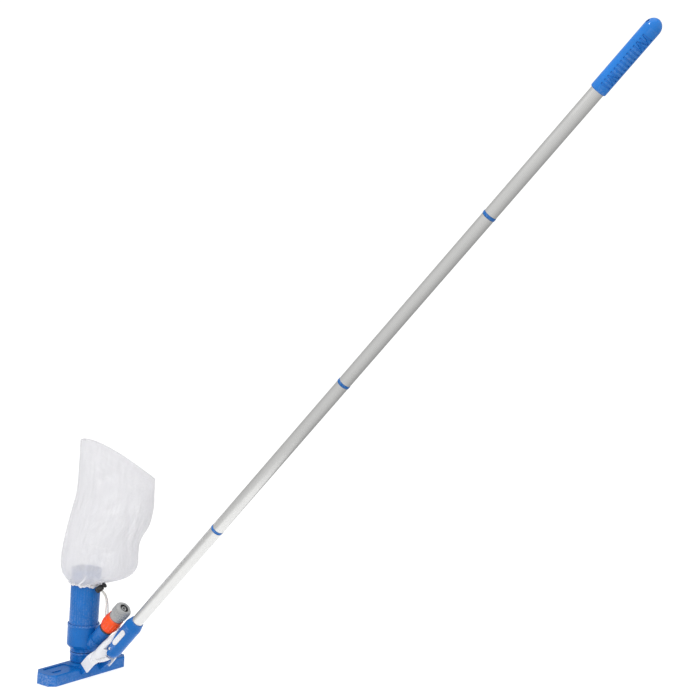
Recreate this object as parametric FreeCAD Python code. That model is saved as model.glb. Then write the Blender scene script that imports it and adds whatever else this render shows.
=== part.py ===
import FreeCAD, Part
import math
import os

# Jet-driven vacuum head for small pools: a flat suction head with a swivelling yoke, a jet body fed by a
# garden hose, a discharge tube with a mesh bag, and a handle of four screwed aluminium sections.
# Millimetres. X runs along the head, the handle leans towards -Y, Z is up.
# The origin is on the floor at the middle of the head, on the glide rib under the sole.

V = FreeCAD.Vector

# Head
HEAD_LENGTH = 198.0
HEAD_DEPTH = 54.0
HEAD_TOP = 21.0
FRONT_CORNER = 11.0
REAR_CORNER = 16.0
FOOT = 0.8
WALL = 2.4
DECK_RECESS = 1.6
SOLE_THICK = 2.5
SLOT_WIDTH = 15.0
RIB_HALF = 6.0
BRISTLE_Y = 19.0
BRISTLE_WIDTH = 5.0
BRISTLE_HALF = 76.0
SCREW_X = 82.0
SCREW_Y = 10.0

# Neck, jet body and discharge tube, all on one upright axis
TUBE_R = 27.2
TUBE_TOP = 200.0
NECK_R = 19.0
NECK_BORE = 16.0
NECK_TOP = 57.0
COLLAR_Z = (26.5, 44.0)
BELL_R = 29.0
BELL_Z = (45.0, 51.0, 58.0, 97.0)
SEAT_Z = 74.0

# Hose inlet branch and quick connector, on one slanted axis
INLET_ELEVATION = 48.0
INLET_Y = -59.5
INLET_Z = 99.2
BRANCH_R = 13.8
BRANCH_BORE = 8.0
CORE_R = 11.2
SLEEVE_R = 13.9
THREAD_R = 12.9
CONNECTOR_LENGTH = 60.0
COLLAR_END = 32.0
COLLAR_TRAVEL = 4.0
NUT_START = 39.8
NUT_R = 15.9
HOSE_HOLE_R = 8.7

# Yoke and handle, on the handle's own axes: x across, y behind it, z along it
HANDLE_ELEVATION = 49.0
HANDLE_Y = -61.0
HANDLE_Z = 43.0
PIVOT_BEHIND = 7.0
PIVOT_ALONG = -21.5
PIVOT_R = 3.0
EAR_R = 8.5
EAR_X = (21.5, 26.5)
LEG_X = (27.0, 30.5)
PIN_END = 29.5
LEG_Y = (-3.5, 17.5)
LEG_END = -30.0
SOCKET_R = 16.2
SOCKET_TOP = 110.0
SOCKET_DOME = 28.0
SOCKET_STEP = 44.0
STEM_R = 9.0
CROSS_PIN = 34.0
TAB_Z = 66.0
TAB_LENGTH = 38.0
TAB_WIDTH = 10.0
TAB_TRAVEL = 2.0
POLE_R = 11.0
POLE_WALL = 1.0
POLE_START = 51.0
SECTION = 368.0
RING_WIDTH = 5.4
RING_R = 11.5
THREAD_LENGTH = 27.0
GRIP_R = 13.2
GRIP_START = 1347.0
GRIP_DOME = 1460.0
GRIP_TIP = 15.0
GRIP_TURN = -45.0
GRIP_RIBS = 14
HANG_HOLE_R = 3.2
HANG_HOLE_AT = 1464.0

# Mesh bag, its drawcord and cord lock
BAG_YAW = -57.0
BAG_CLOTH = 1.2
HEM_Z = (170.0, 176.5)
CORD_R = 1.2
LOCK_CENTRE = V(-3.7, -39.4, 169.1)
LOCK_LIFT = 42.0

GAP = 0.3
FIT = 0.08


def cyl(radius, low, high):
    """Upright cylinder on the Z axis between two heights."""
    return Part.makeCylinder(radius, high - low, V(0, 0, low))


def ring(outer, inner, low, high):
    """Upright tube on the Z axis."""
    return cyl(outer, low, high).cut(cyl(inner, low - 1, high + 1))


def cross_cyl(radius, centre_y, centre_z, x_low, x_high):
    """Cylinder whose axis runs along X."""
    return Part.makeCylinder(radius, x_high - x_low, V(x_low, centre_y, centre_z), V(1, 0, 0))


def block(x, y, z):
    """Box from three (low, high) pairs."""
    return Part.makeBox(x[1] - x[0], y[1] - y[0], z[1] - z[0], V(x[0], y[0], z[0]))


def turned(points):
    """Solid turned about Z from (radius, height) corners."""
    corners = [V(radius, 0, height) for radius, height in points]
    face = Part.Face(Part.makePolygon(corners + corners[:1]))
    return face.revolve(V(0, 0, 0), V(0, 0, 1), 360)


def prism(points, direction):
    """Solid swept straight from a flat outline."""
    return Part.Face(Part.makePolygon(points + points[:1])).extrude(direction)


def moved(shape, place):
    """Copy of a shape carried by a placement."""
    copy = shape.copy()
    copy.Placement = place.multiply(copy.Placement)
    return copy


def leaning(y, z, elevation):
    """Placement of axes whose Z leans from upright towards -Y, at the given elevation."""
    return FreeCAD.Placement(V(0, y, z), FreeCAD.Rotation(V(1, 0, 0), 90.0 - elevation))


def mirrored(shape):
    """The same piece on the other side of the middle plane X = 0."""
    return shape.mirror(V(0, 0, 0), V(1, 0, 0))


INLET_PLACE = leaning(INLET_Y, INLET_Z, INLET_ELEVATION)
HANDLE_PLACE = leaning(HANDLE_Y, HANDLE_Z, HANDLE_ELEVATION)
PIVOT = HANDLE_PLACE.multVec(V(0, PIVOT_BEHIND, PIVOT_ALONG))


def head_outline(inset, low, high):
    """The head's eight-sided plan, inset by a wall and given a height."""
    half_x = HEAD_LENGTH / 2 - inset
    half_y = HEAD_DEPTH / 2 - inset
    corners = []
    for sx, sy in ((1, 1), (-1, 1), (-1, -1), (1, -1)):
        cut = (REAR_CORNER if sy > 0 else FRONT_CORNER) - inset * 0.6
        along = V(sx * (half_x - cut), sy * half_y, low)
        across = V(sx * half_x, sy * (half_y - cut), low)
        corners += [across, along] if sx * sy > 0 else [along, across]
    return prism(corners, V(0, 0, high - low))


def oval(length, width, low, high):
    """Upright prism with round ends, long along X."""
    reach = (length - width) / 2
    shape = block((-reach, reach), (-width / 2, width / 2), (low, high))
    for side in (-1, 1):
        shape = shape.fuse(Part.makeCylinder(width / 2, high - low, V(side * reach, 0, low)))
    return shape.removeSplitter()


def deck_recess():
    """Shallow panel in the deck of the right half, with a tongue left standing at its outer end."""
    panel = block((27, 82), (-18, 18), (HEAD_TOP - DECK_RECESS, HEAD_TOP + 1))
    upright = [edge for edge in panel.Edges if abs(edge.tangentAt(0).z) > 0.9]
    panel = panel.makeFillet(6, upright)
    tongue = oval(56, 12, HEAD_TOP - DECK_RECESS - 1, HEAD_TOP + 2)
    tongue.translate(V(82, 0, 0))
    return panel.cut(tongue)


def ear():
    """Lug on the head's front edge that carries one leg of the yoke."""
    low, high = EAR_X
    back = V(0, PIVOT.y + 22, PIVOT.z - 17)
    lean = (V(0, PIVOT.y, PIVOT.z) - back).normalize()
    side = V(0, lean.z, -lean.y) * EAR_R
    root_y = -HEAD_DEPTH / 2 + 4
    corners = [V(low, root_y, 6), V(low, PIVOT.y - side.y, PIVOT.z - side.z)]
    corners += [V(low, PIVOT.y + side.y, PIVOT.z + side.z), V(low, root_y + 4, HEAD_TOP - 1)]
    lug = prism(corners, V(high - low, 0, 0)).fuse(cross_cyl(EAR_R, PIVOT.y, PIVOT.z, low, high))
    return lug.cut(cross_cyl(PIVOT_R + FIT, PIVOT.y, PIVOT.z, low - 1, high + 1))


def screw_places():
    """The four corners where the sole is screwed to the shell."""
    return [(sx * SCREW_X, sy * SCREW_Y) for sx in (-1, 1) for sy in (-1, 1)]


def head_shell():
    shell = head_outline(0, FOOT, HEAD_TOP)
    rim = [edge for edge in shell.Edges if abs(edge.CenterOfMass.z - HEAD_TOP) < 0.01]
    shell = shell.makeFillet(2.5, rim)
    for recess in (deck_recess(), mirrored(deck_recess())):
        shell = shell.cut(recess)
    neck = turned([(0, 15), (24, 15), (24, HEAD_TOP), (NECK_R, 25), (NECK_R, NECK_TOP), (0, NECK_TOP)])
    shell = shell.fuse(neck)
    shell = shell.cut(head_outline(WALL, FOOT - 1, HEAD_TOP - DECK_RECESS - WALL))
    for x, y in screw_places():
        post = Part.makeCylinder(4, HEAD_TOP - FOOT - SOLE_THICK - 3, V(x, y, FOOT + SOLE_THICK))
        shell = shell.fuse(post).cut(Part.makeCylinder(1.5, 11, V(x, y, FOOT)))
    shell = shell.fuse(ear()).fuse(mirrored(ear()))
    return shell.cut(cyl(NECK_BORE, FOOT, NECK_TOP + 1)).removeSplitter()


def sole_plate():
    plate = head_outline(WALL + 0.15, FOOT, FOOT + SOLE_THICK)
    half = SLOT_WIDTH / 2
    for low, high in ((RIB_HALF + 2, 74), (-74, -RIB_HALF - 2)):
        plate = plate.cut(block((low, high), (-half, half), (0, 10)))
    plate = plate.fuse(block((-RIB_HALF, RIB_HALF), (-15, 15), (0, FOOT + 0.5)))
    for side in (-1, 1):
        y = side * BRISTLE_Y
        width = BRISTLE_WIDTH / 2
        plate = plate.cut(block((-BRISTLE_HALF, BRISTLE_HALF), (y - width, y + width), (0, FOOT + 1.2)))
    for x, y in screw_places():
        plate = plate.cut(Part.makeCylinder(1.7, 10, V(x, y, 0)))
        plate = plate.cut(Part.makeCylinder(3.4, 1.3, V(x, y, FOOT)))
    return plate.removeSplitter()


def bristle_strip(side):
    """Comb of short bristles set in a groove along one edge of the sole."""
    y = side * BRISTLE_Y
    width = BRISTLE_WIDTH / 2
    return block((-BRISTLE_HALF, BRISTLE_HALF), (y - width, y + width), (0, FOOT + 1.2))


def sole_screws():
    screws = []
    for x, y in screw_places():
        head = Part.makeCylinder(3.2, 1.2, V(x, y, FOOT + 0.1))
        screws.append(head.fuse(Part.makeCylinder(1.45, 9.3, V(x, y, FOOT + 1))).removeSplitter())
    return Part.makeCompound(screws)


def locking_collar():
    low, high = COLLAR_Z
    body = turned([(NECK_R + 0.15, low), (21.0, low), (21.6, low + 2), (21.6, high - 5),
                   (22.4, high - 4), (22.4, high), (NECK_R + 0.15, high)])
    for turn in range(8):
        notch = block((21.1, 24), (-1.2, 1.2), (low + 3, high - 6))
        notch.rotate(V(0, 0, 0), V(0, 0, 1), 22.5 + turn * 45)
        body = body.cut(notch)
    return body


def neck_seal():
    seal = ring(NECK_R, NECK_BORE + 0.6, NECK_TOP, NECK_TOP + 1.6)
    return seal


def branch(outer, low, high):
    """Stretch of the slanted inlet branch."""
    return moved(cyl(outer, low, high), INLET_PLACE)


def venturi_body():
    low, waist, shoulder, rim = BELL_Z
    outside = turned([(0, low), (21.6, low), (22.8, waist), (BELL_R - 2, shoulder - 3), (BELL_R, shoulder),
                      (BELL_R, rim - 5), (BELL_R + 0.5, rim - 4), (BELL_R + 0.5, rim), (0, rim)])
    inside = turned([(0, low - 1), (NECK_R + 0.15, low - 1), (NECK_R + 0.15, NECK_TOP + 1.6), (17, NECK_TOP + 1.6),
                     (17, NECK_TOP + 3), (24.6, 67), (24.6, SEAT_Z), (TUBE_R + 0.1, SEAT_Z),
                     (TUBE_R + 0.1, rim + 1), (0, rim + 1)])
    body = outside.fuse(branch(BRANCH_R, -55, -3)).fuse(branch(BRANCH_R + 1.4, -48, -33))
    keep_out = cyl(BELL_R - 1.5, low, rim + 30)
    body = body.cut(keep_out.cut(outside))
    return body.cut(inside).cut(branch(BRANCH_BORE, -51, -2)).removeSplitter()


def jet_ring():
    body = turned([(19, 67.5), (24.5, 67.5), (24.5, SEAT_Z), (20.5, SEAT_Z)])
    for turn in range(6):
        jet = Part.makeCylinder(1.2, 12, V(21.9, 0, 64))
        jet.rotate(V(0, 0, 0), V(0, 0, 1), turn * 60)
        body = body.cut(jet)
    return body


def tube_gasket():
    return ring(TUBE_R, 24.8, SEAT_Z, SEAT_Z + 1.8)


def discharge_tube():
    tube = ring(TUBE_R, TUBE_R - 2, SEAT_Z + 1.8, TUBE_TOP)
    bead = turned([(TUBE_R - 0.5, TUBE_TOP - 3), (TUBE_R + 0.3, TUBE_TOP - 3), (TUBE_R + 0.3, TUBE_TOP - 0.6),
                   (TUBE_R - 0.3, TUBE_TOP), (TUBE_R - 0.5, TUBE_TOP)])
    return tube.fuse(bead).removeSplitter()


def inlet_nipple():
    body = turned([(4.5, -18), (BRANCH_BORE, -18), (BRANCH_BORE, -3), (BRANCH_R, -3), (BRANCH_R, 0), (7.6, 0),
                   (7.6, 6.8), (6.2, 6.8), (6.2, 9.2), (7.6, 9.2), (7.6, 15), (6.8, 16.5), (4.5, 16.5)])
    return moved(body, INLET_PLACE)


def inlet_seal():
    return moved(Part.makeTorus(7.3, 1.05, V(0, 0, 8)), INLET_PLACE)


def connector_core():
    body = turned([(8.6, 2), (CORE_R, 2), (CORE_R, 26), (SLEEVE_R, 26), (SLEEVE_R, 39.5), (THREAD_R, 39.5),
                   (THREAD_R, 51), (10.6, 51), (10.6, 38), (4.9, 38), (4.9, 57.4), (4.2, 58.8), (3.2, 58.8),
                   (3.2, 22), (8.6, 22)])
    for side in (-1, 1):
        body = body.cut(block(sorted((side * 8, side * 12)), (-2.8, 2.8), (9.8, 14.6)))
    return moved(body, INLET_PLACE)


def latch_claw(side):
    """Claw that locks the connector on the nipple; it moves outwards as the collar is drawn back."""
    claw = block(sorted((side * 8.0, side * CORE_R)), (-2.4, 2.4), (10.2, 14.2))
    return moved(claw, INLET_PLACE)


def connector_collar():
    end = COLLAR_END
    body = turned([(12.6, 0.6), (13.6, 0.6), (14.6, 3), (15.7, 12), (16.0, 18), (15.9, 24), (15.4, end),
                   (14.25, end), (14.25, 21.6), (13.4, 21.6), (13.4, 16), (CORE_R + GAP, 16),
                   (CORE_R + GAP, 15.4), (12.6, 15.4)])
    for turn in range(16):
        rib = Part.makeCylinder(0.7, 16, V(16.0, 0, 8))
        rib.rotate(V(0, 0, 0), V(0, 0, 1), turn * 22.5)
        body = body.fuse(rib)
    return moved(body.removeSplitter(), INLET_PLACE)


def collar_spring():
    """Four coils that push the collar back over the claws, each drawn as a closed ring."""
    coils = [Part.makeTorus(12.3, 0.5, V(0, 0, 17 + turn * 2.7)) for turn in range(4)]
    return moved(Part.makeCompound(coils), INLET_PLACE)


def hose_collet():
    body = turned([(9.0, 42.5), (10.4, 42.5), (10.4, 53.3), (11.8, 53.3), (11.8, 55), (9.8, 57), (9.0, 57)])
    for turn in range(3):
        slit = block((-13, 13), (-0.7, 0.7), (45, 58))
        slit.rotate(V(0, 0, 0), V(0, 0, 1), turn * 60)
        body = body.cut(slit)
    return moved(body, INLET_PLACE)


def clamp_nut():
    end = CONNECTOR_LENGTH
    body = turned([(THREAD_R + FIT, NUT_START), (NUT_R - 0.8, NUT_START), (NUT_R, NUT_START + 1.5),
                   (NUT_R, NUT_START + 3.5), (NUT_R - 0.7, NUT_START + 4.5), (NUT_R - 0.7, end - 3.5),
                   (NUT_R - 3.4, end), (HOSE_HOLE_R, end), (HOSE_HOLE_R, end - 2.4), (THREAD_R + FIT, end - 4)])
    for turn in range(24):
        ridge = Part.makeCylinder(0.8, end - NUT_START - 8.8, V(NUT_R - 0.6, 0, NUT_START + 4.8))
        ridge.rotate(V(0, 0, 0), V(0, 0, 1), turn * 15)
        body = body.fuse(ridge)
    return moved(body.removeSplitter(), INLET_PLACE)


def bag_section(offset, height, half_width, half_depth, tilt, inset):
    """One closed outline of the bag, wide along the bag's own X, tilted about its Y."""
    wire = Part.Wire(Part.Ellipse(V(0, 0, 0), half_width - inset, half_depth - inset).toShape())
    tip = FreeCAD.Placement(V(offset, 0, height), FreeCAD.Rotation(V(0, 1, 0), tilt))
    turn = FreeCAD.Placement(V(0, 0, 0), FreeCAD.Rotation(V(0, 0, 1), BAG_YAW))
    return moved(wire, turn.multiply(tip))


def bag_skin(inset, top_drop):
    """The bag's outside, or its inside when inset by the cloth."""
    neck = TUBE_R + GAP + BAG_CLOTH
    stations = [(0, 178, neck, neck, 0), (6, 182.5, 42, 34, 0), (18, 192, 60, 41, 0),
                (22, 215, 71, 45, 0), (25, 250, 71, 45, 0), (36, 295, 77, 41, 4), (44, 345, 76, 33, 14),
                (46, 380 - top_drop, 77, 20, 24), (46, 397 - top_drop, 78, 9, 27),
                (43, 407 - top_drop, 64, 4, 26)]
    wires = [bag_section(*station, inset) for station in stations]
    return Part.makeLoft(wires, True)


def mesh_bag():
    """Gathered on the tube at its hem, full above it, closed by a slanting seam at the top."""
    inside = TUBE_R + GAP
    hem = ring(TUBE_R + 3.2, inside, *HEM_Z).fuse(ring(inside + BAG_CLOTH, inside, HEM_Z[0], 178.1))
    bag = bag_skin(0, 0).cut(bag_skin(BAG_CLOTH, 1.6)).fuse(hem)
    return bag.cut(cyl(inside, HEM_Z[0] - 1, 179)).removeSplitter()


def bag_drawcord():
    """The cord's turn round the tube, inside the hem's channel."""
    middle = (HEM_Z[0] + HEM_Z[1]) / 2
    return Part.makeTorus(TUBE_R + 1.7, CORD_R, V(0, 0, middle))


def lock_place():
    """The cord lock's axes: Z along the barrel towards its button, X across it."""
    yaw = math.radians(BAG_YAW)
    lift = math.radians(LOCK_LIFT)
    along = V(math.cos(yaw) * math.cos(lift), math.sin(yaw) * math.cos(lift), math.sin(lift))
    return FreeCAD.Placement(LOCK_CENTRE, FreeCAD.Rotation(V(0, 0, 1), along))


def cord_lock_body():
    barrel = turned([(0, -8), (4.6, -8), (5.6, -6.6), (5.6, 4.5), (5.0, 5.5), (3.9, 5.5), (3.9, -5), (0, -5)])
    return moved(barrel, lock_place())


def cord_lock_button():
    button = turned([(0, -0.5), (3.6, -0.5), (3.6, 8.8), (5.3, 9.4), (5.6, 11), (4.8, 12.6), (2.6, 13.4),
                     (0, 13.6)])
    return moved(button, lock_place())


def cord_lock_spring():
    coils = [Part.makeTorus(2.6, 0.4, V(0, 0, -4.5 + turn * 1.1)) for turn in range(4)]
    return moved(Part.makeCompound(coils), lock_place())


# Route of the drawcord's free loop: out of the lock, over, down beside the inlet, round and back up
LOOP_ROUTE = [V(-3.5, -43.7, 164.9), V(0.0, -46.9, 160.2), V(4.4, -48.1, 151.2), V(8.6, -46.3, 138.7),
              V(11.3, -43.4, 125.7), V(13.7, -42.3, 113.2), V(15.4, -41.9, 102.7), V(20.2, -39.4, 94.2),
              V(28.7, -33.9, 93.7), V(32.5, -30.8, 102.7), V(30.5, -31.4, 114.7), V(26.2, -34.7, 127.2),
              V(20.4, -38.7, 139.7), V(13.1, -42.2, 151.2), V(5.9, -42.8, 160.5), V(1.2, -40.7, 164.9)]


def cord_tube(route, radius):
    """Tube along straight runs joined by tangent arcs; prints the arcs' radii and checks the volume."""
    edges = []
    start = route[0]
    radii = []
    for before, corner, after in zip(route, route[1:], route[2:]):
        back = (before - corner).normalize()
        ahead = (after - corner).normalize()
        half_turn = (math.pi - back.getAngle(ahead)) / 2
        reach = 0.45 * min((before - corner).Length, (after - corner).Length)
        bend = reach / math.tan(half_turn)
        radii.append(bend)
        first = corner + back * reach
        last = corner + ahead * reach
        inward = (back + ahead).normalize()
        middle = corner + inward * (bend / math.cos(half_turn) - bend)
        edges.append(Part.LineSegment(start, first).toShape())
        edges.append(Part.Arc(first, middle, last).toShape())
        start = last
    edges.append(Part.LineSegment(start, route[-1]).toShape())
    path = Part.Wire(edges)
    mouth = Part.Wire(Part.Circle(route[0], route[1] - route[0], radius).toShape())
    tube = path.makePipeShell([mouth], True, False, 2)
    expected = math.pi * radius ** 2 * path.Length
    print("cord radii", [round(value, 1) for value in radii], "length", round(path.Length, 1),
          "volume ratio", round(tube.Volume / expected, 4))
    return tube


def drawcord_loop():
    return cord_tube(LOOP_ROUTE, CORD_R)


def socket_outside():
    """The socket's outer skin: a domed end, a plain barrel and a mouth that narrows to the pole."""
    dome = Part.makeSphere(SOCKET_R, V(0, 0, SOCKET_DOME))
    barrel = turned([(0, SOCKET_DOME), (SOCKET_R, SOCKET_DOME), (SOCKET_R, SOCKET_TOP - 15),
                     (SOCKET_R - 0.8, SOCKET_TOP - 11), (SOCKET_R - 3.4, SOCKET_TOP - 1),
                     (SOCKET_R - 4, SOCKET_TOP), (0, SOCKET_TOP)])
    return dome.fuse(barrel).removeSplitter()


def tab_window(grow):
    """Long oval column through the socket's right cheek."""
    shape = oval(TAB_LENGTH + 2 * grow, TAB_WIDTH + 2 * grow, 8, 25)
    place = FreeCAD.Placement(V(0, 0, TAB_Z), FreeCAD.Rotation(V(0, 1, 0), 90))
    return moved(shape, place)


def yoke_fork():
    """Flat legs joined by an arch, seen from behind as an upside-down U."""
    outer, inner = LEG_X[1], LEG_X[0]
    y = LEG_Y[0]
    left = [V(-outer, y, LEG_END), V(-outer, y, -8)]
    right = [V(outer, y, -8), V(outer, y, LEG_END), V(inner, y, LEG_END), V(inner, y, -10)]
    edges = [Part.LineSegment(left[0], left[1]).toShape(),
             Part.Arc(left[1], V(0, y, 12), right[0]).toShape()]
    edges += [Part.LineSegment(a, b).toShape() for a, b in zip(right, right[1:])]
    edges.append(Part.Arc(right[-1], V(0, y, 6), V(-inner, y, -10)).toShape())
    edges.append(Part.LineSegment(V(-inner, y, -10), V(-inner, y, LEG_END)).toShape())
    edges.append(Part.LineSegment(V(-inner, y, LEG_END), left[0]).toShape())
    return Part.Face(Part.Wire(edges)).extrude(V(0, LEG_Y[1] - LEG_Y[0], 0))


def yoke_back():
    """Shoulders that run up behind the socket and taper into it."""
    stations = [(-6, 29.8, 10.5, 7), (14, 29.2, 12, 8.5), (32, 25.5, 10.8, 9.5), (50, 18.5, 7, 10.8),
                (70, 11, 3, 14.4)]
    wires = []
    for height, half_width, half_depth, behind in stations:
        outline = Part.Ellipse(V(0, behind, height), half_width, half_depth).toShape()
        wires.append(Part.Wire(outline))
    return Part.makeLoft(wires, True)


def yoke():
    cup = Part.makeSphere(SOCKET_R + 2.4, V(0, 0.5, SOCKET_DOME - 2))
    cup = cup.common(block((-25, 25), (-25, 25), (0, 14)))
    back = yoke_back().cut(block((-40, 40), (-20, 5.5), (SOCKET_DOME, 90)))
    body = yoke_fork().fuse(back).fuse(cup)
    body = body.cut(socket_outside())
    for side in (-1, 1):
        x = sorted((side * (LEG_X[0] - 1), side * PIN_END))
        body = body.cut(cross_cyl(PIVOT_R, PIVOT_BEHIND, PIVOT_ALONG, *x))
    body = body.fuse(cyl(STEM_R, 9, SOCKET_STEP))
    body = body.cut(cross_cyl(2.5, 0, CROSS_PIN, -12, 12))
    return moved(body.removeSplitter(), HANDLE_PLACE)


def pivot_pin(side):
    """Pin pressed into one leg and running in the head's ear."""
    x = sorted((side * (EAR_X[0] - 1), side * PIN_END))
    return cross_cyl(PIVOT_R, PIVOT.y, PIVOT.z, *x)


def pole_socket():
    body = socket_outside()
    body = body.cut(cyl(STEM_R, 0, SOCKET_STEP)).cut(cyl(POLE_R, SOCKET_STEP, SOCKET_TOP + 1))
    body = body.cut(tab_window(GAP)).cut(mirrored(tab_window(GAP)))
    body = body.cut(cross_cyl(2.5, 0, CROSS_PIN, -20, 20))
    return moved(body.removeSplitter(), HANDLE_PLACE)


def socket_pin():
    """Cross pin that holds the socket on the yoke's stem, domed at both ends."""
    pin = cross_cyl(2.5, 0, CROSS_PIN, -16.7, 16.7)
    for side in (-1, 1):
        cap = Part.makeSphere(3.4, V(side * 14.6, 0, CROSS_PIN))
        cap = cap.common(block(sorted((side * 16.7, side * 20)), (-4, 4), (CROSS_PIN - 6, CROSS_PIN + 6)))
        pin = pin.fuse(cap)
    return moved(pin.removeSplitter(), HANDLE_PLACE)


def lock_tab(side):
    """Oval press button in the socket's cheek, with a stem through the pole's wall."""
    pad = tab_window(0).common(ring(SOCKET_R + 0.7, 13.4, TAB_Z - 30, TAB_Z + 30))
    stem = cross_cyl(3, 0, TAB_Z, 6.2, 15)
    tab = pad.fuse(stem).removeSplitter()
    return moved(tab if side > 0 else mirrored(tab), HANDLE_PLACE)


def lock_spring():
    """Coils across the pole that push the two buttons apart, each drawn as a closed ring."""
    coils = [Part.makeTorus(3.4, 0.5, V(-4.8 + turn * 2.4, 0, TAB_Z), V(1, 0, 0)) for turn in range(5)]
    return moved(Part.makeCompound(coils), HANDLE_PLACE)


def pole_plug():
    body = turned([(0, SOCKET_STEP + 0.5), (POLE_R - 0.3, SOCKET_STEP + 0.5), (POLE_R - 0.3, POLE_START),
                   (POLE_R - POLE_WALL, POLE_START), (POLE_R - POLE_WALL, POLE_START + 9),
                   (0, POLE_START + 9)])
    return moved(body, HANDLE_PLACE)


def ring_low(number):
    """Where the joint ring above section `number` begins."""
    return number * SECTION - RING_WIDTH / 2


def pole_tube(number):
    low = POLE_START if number == 1 else ring_low(number - 1) + RING_WIDTH + GAP
    high = GRIP_DOME - 6 if number == 4 else ring_low(number) - GAP
    tube = ring(POLE_R, POLE_R - POLE_WALL, low, high)
    if number == 1:
        tube = tube.cut(cross_cyl(3 + GAP, 0, TAB_Z, -12, 12))
    return moved(tube, HANDLE_PLACE)


def joint_coupler(number):
    """Male coupler pressed into the lower tube, with a threaded stub that stands out of it."""
    top = ring_low(number) - GAP
    body = turned([(0, top - 24), (POLE_R - POLE_WALL, top - 24), (POLE_R - POLE_WALL, top), (8, top),
                   (8, top + THREAD_LENGTH), (7, top + THREAD_LENGTH + 1), (0, top + THREAD_LENGTH + 1)])
    return moved(body, HANDLE_PLACE)


def joint_ring(number):
    low = ring_low(number)
    body = turned([(8 + GAP, low), (RING_R - 0.5, low), (RING_R, low + 0.6), (RING_R, low + RING_WIDTH - 0.6),
                   (RING_R - 0.5, low + RING_WIDTH), (8 + GAP, low + RING_WIDTH)])
    return moved(body, HANDLE_PLACE)


def joint_insert(number):
    """Female insert pressed into the foot of the upper tube."""
    low = ring_low(number) + RING_WIDTH + GAP
    return moved(ring(POLE_R - POLE_WALL, 8 + FIT, low, low + THREAD_LENGTH), HANDLE_PLACE)


def grip():
    base = turned([(0, GRIP_START), (GRIP_R - 1, GRIP_START), (GRIP_R, GRIP_START + 1.5),
                   (GRIP_R, GRIP_DOME), (0, GRIP_DOME)])
    dome = Part.makeSphere(GRIP_R)
    stretch = FreeCAD.Matrix()
    stretch.scale(1, 1, GRIP_TIP / GRIP_R)
    dome = dome.transformGeometry(stretch)
    dome.translate(V(0, 0, GRIP_DOME))
    body = base.fuse(dome)
    pitch = (GRIP_DOME - GRIP_START - 20) / GRIP_RIBS
    for number in range(GRIP_RIBS):
        low = GRIP_START + 12 + number * pitch
        groove = ring(GRIP_R + 2, GRIP_R - 0.9, low, low + pitch * 0.42)
        body = body.cut(groove.common(block((-8, 8), (-20, 0), (low - 1, low + pitch))))
    body = body.cut(cyl(POLE_R, GRIP_START - 1, GRIP_DOME - 6))
    body = body.cut(cross_cyl(HANG_HOLE_R, 0, HANG_HOLE_AT, -20, 20))
    body.rotate(V(0, 0, 0), V(0, 0, 1), GRIP_TURN)
    return moved(body, HANDLE_PLACE)


def all_parts():
    parts = {"head_shell": head_shell(), "sole_plate": sole_plate(), "bristle_strip_front": bristle_strip(-1),
             "bristle_strip_rear": bristle_strip(1), "sole_screws": sole_screws(),
             "locking_collar": locking_collar(), "neck_seal": neck_seal(), "venturi_body": venturi_body(),
             "jet_ring": jet_ring(), "tube_gasket": tube_gasket(), "discharge_tube": discharge_tube(),
             "inlet_nipple": inlet_nipple(), "inlet_seal": inlet_seal(), "connector_core": connector_core(),
             "latch_claw_left": latch_claw(-1), "latch_claw_right": latch_claw(1),
             "connector_collar": connector_collar(), "collar_spring": collar_spring(),
             "hose_collet": hose_collet(), "clamp_nut": clamp_nut(), "mesh_bag": mesh_bag(),
             "bag_drawcord": bag_drawcord(), "drawcord_loop": drawcord_loop(),
             "cord_lock_body": cord_lock_body(), "cord_lock_button": cord_lock_button(),
             "cord_lock_spring": cord_lock_spring(), "yoke": yoke(), "pivot_pin_left": pivot_pin(-1),
             "pivot_pin_right": pivot_pin(1), "pole_socket": pole_socket(), "socket_pin": socket_pin(),
             "lock_tab_left": lock_tab(-1), "lock_tab_right": lock_tab(1), "lock_spring": lock_spring(),
             "pole_plug": pole_plug(), "grip": grip()}
    for number in range(1, 5):
        parts[f"pole_tube_{number}"] = pole_tube(number)
    for number in range(1, 4):
        parts[f"joint_coupler_{number}"] = joint_coupler(number)
        parts[f"joint_ring_{number}"] = joint_ring(number)
        parts[f"joint_insert_{number}"] = joint_insert(number)
    return parts


os.makedirs("parts", exist_ok=True)
for name, shape in all_parts().items():
    print(name, "valid" if shape.isValid() else "INVALID", len(shape.Solids), round(shape.Volume))
    shape.exportStep(f"parts/{name}.step")
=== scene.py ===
"""Looks of a hose-fed jet vacuum head for small pools.

The suction head, jet tube, mesh bag, hose connector and sectional handle come from the CAD frame. This script
gives each its finish, and builds the drawcord, the bag, the bristles, the springs and the threads in full.
"""

import logging
import math
import random
from collections.abc import Sequence
from dataclasses import dataclass
from enum import Enum

import bmesh
import bpy
from mathutils import Matrix, Vector, noise

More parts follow.
